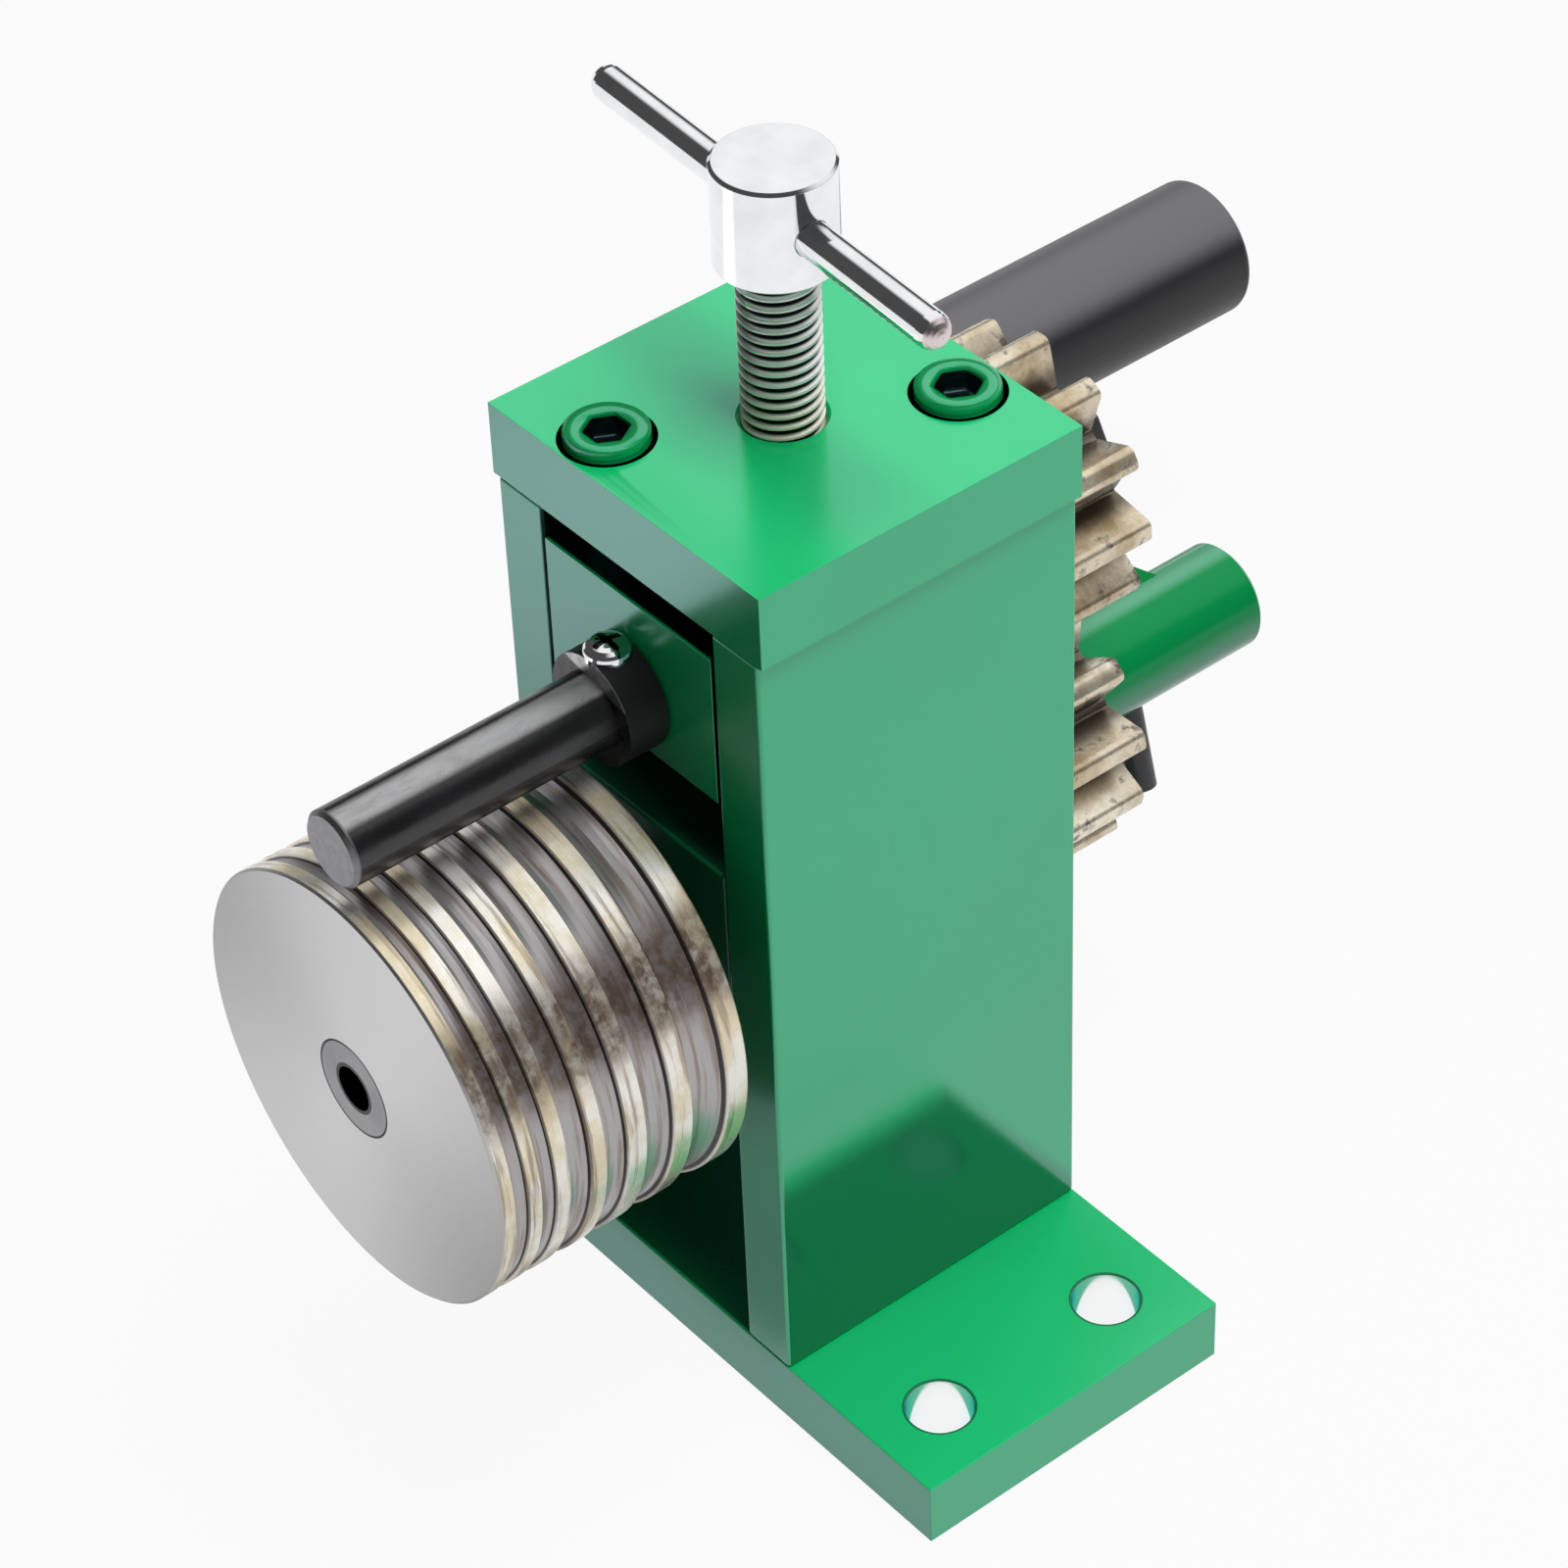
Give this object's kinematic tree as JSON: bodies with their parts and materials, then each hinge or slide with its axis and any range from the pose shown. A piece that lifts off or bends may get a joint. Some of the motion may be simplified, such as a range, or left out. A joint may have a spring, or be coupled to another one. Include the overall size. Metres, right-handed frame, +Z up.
{
  "type": "jewellers rolling mill",
  "caption": "Small bench rolling mill: upright frame, grooved lower roller and plain upper rod in front, pressure screw with tommy bar on top, long-tooth gears and a hand crank behind.",
  "frame": {"origin": "middle of the four bench holes, on the underside of the base plate", "axes": "+X to the right across the front, +Y from the roller side to the crank side, +Z up along the pressure screw"},
  "size_m": [0.1457, 0.2159, 0.1703],
  "materials": {
    "green_paint": "gloss",
    "roller_steel": "satin",
    "bright_steel": "satin",
    "gear_steel": "satin",
    "dark_steel": "satin",
    "chrome": "polished",
    "bronze": "satin",
    "black_oxide": "satin",
    "grip_black": "matte"
  },
  "bodies": {
    "frame": {"base_plate": "green_paint", "left_column": "green_paint", "right_column": "green_paint", "top_plate": "green_paint", "lower_block": "green_paint", "lower_front_bushing": "bronze", "lower_rear_bushing": "bronze", "left_lift_spring": "bright_steel", "right_lift_spring": "bright_steel"},
    "slide_block": {"upper_block": "green_paint", "upper_front_bushing": "bronze", "upper_rear_bushing": "bronze", "front_hanger_screw": "green_paint", "rear_hanger_screw": "green_paint"},
    "press_screw": {"pressure_screw": "chrome", "screw_head": "chrome"},
    "bar": {"tommy_bar": "chrome"},
    "upper_roll": {"upper_shaft": "dark_steel", "shaft_collar": "dark_steel", "collar_screw": "chrome", "upper_thrust_washer": "bronze", "upper_gear": "gear_steel", "upper_gear_key": "dark_steel", "upper_shaft_nut": "bright_steel"},
    "lower_roll": {"roller_shaft": "bright_steel", "grooved_roller": "roller_steel", "roller_key": "dark_steel", "roller_spacer": "dark_steel", "lower_thrust_washer": "bronze", "lower_gear": "gear_steel", "lower_gear_key": "dark_steel", "crank_hub": "green_paint", "crank_arm": "green_paint", "clamp_bolt": "black_oxide", "grip_spindle": "bright_steel"},
    "hand_grip": {"grip": "grip_black"}
  },
  "joints": [
    {"name": "block_slide", "type": "slide", "parent": "frame", "child": "slide_block", "axis": [0, 0, 1], "range_m": [-0.0029, 0.0012], "deforming": ["left_lift_spring", "right_lift_spring"]},
    {"name": "screw_turn", "type": "hinge", "parent": "slide_block", "child": "press_screw", "pos_m": [0, 0, 0.16], "axis": [0, 0, 1], "range_deg": [-696, 288]},
    {"name": "bar_slide", "type": "slide", "parent": "press_screw", "child": "bar", "axis": [0.9976, -0.0698, 0], "range_m": [-0.022, 0.024]},
    {"name": "lower_turn", "type": "hinge", "parent": "frame", "child": "lower_roll", "pos_m": [0, 0, 0.0698], "axis": [0, 1, 0], "continuous": true},
    {"name": "upper_turn", "type": "hinge", "parent": "slide_block", "child": "upper_roll", "pos_m": [0, 0, 0.1068], "axis": [0, 1, 0], "continuous": true},
    {"name": "grip_spin", "type": "hinge", "parent": "lower_roll", "child": "hand_grip", "pos_m": [-0.08355, 0.105, 0.0474], "axis": [0, 1, 0], "continuous": true}
  ],
  "couplings": [
    {"joint": "screw_turn", "follows": "block_slide", "rad_per_m": 4188.8},
    {"joint": "upper_turn", "follows": "lower_turn", "ratio": -1}
  ]
}
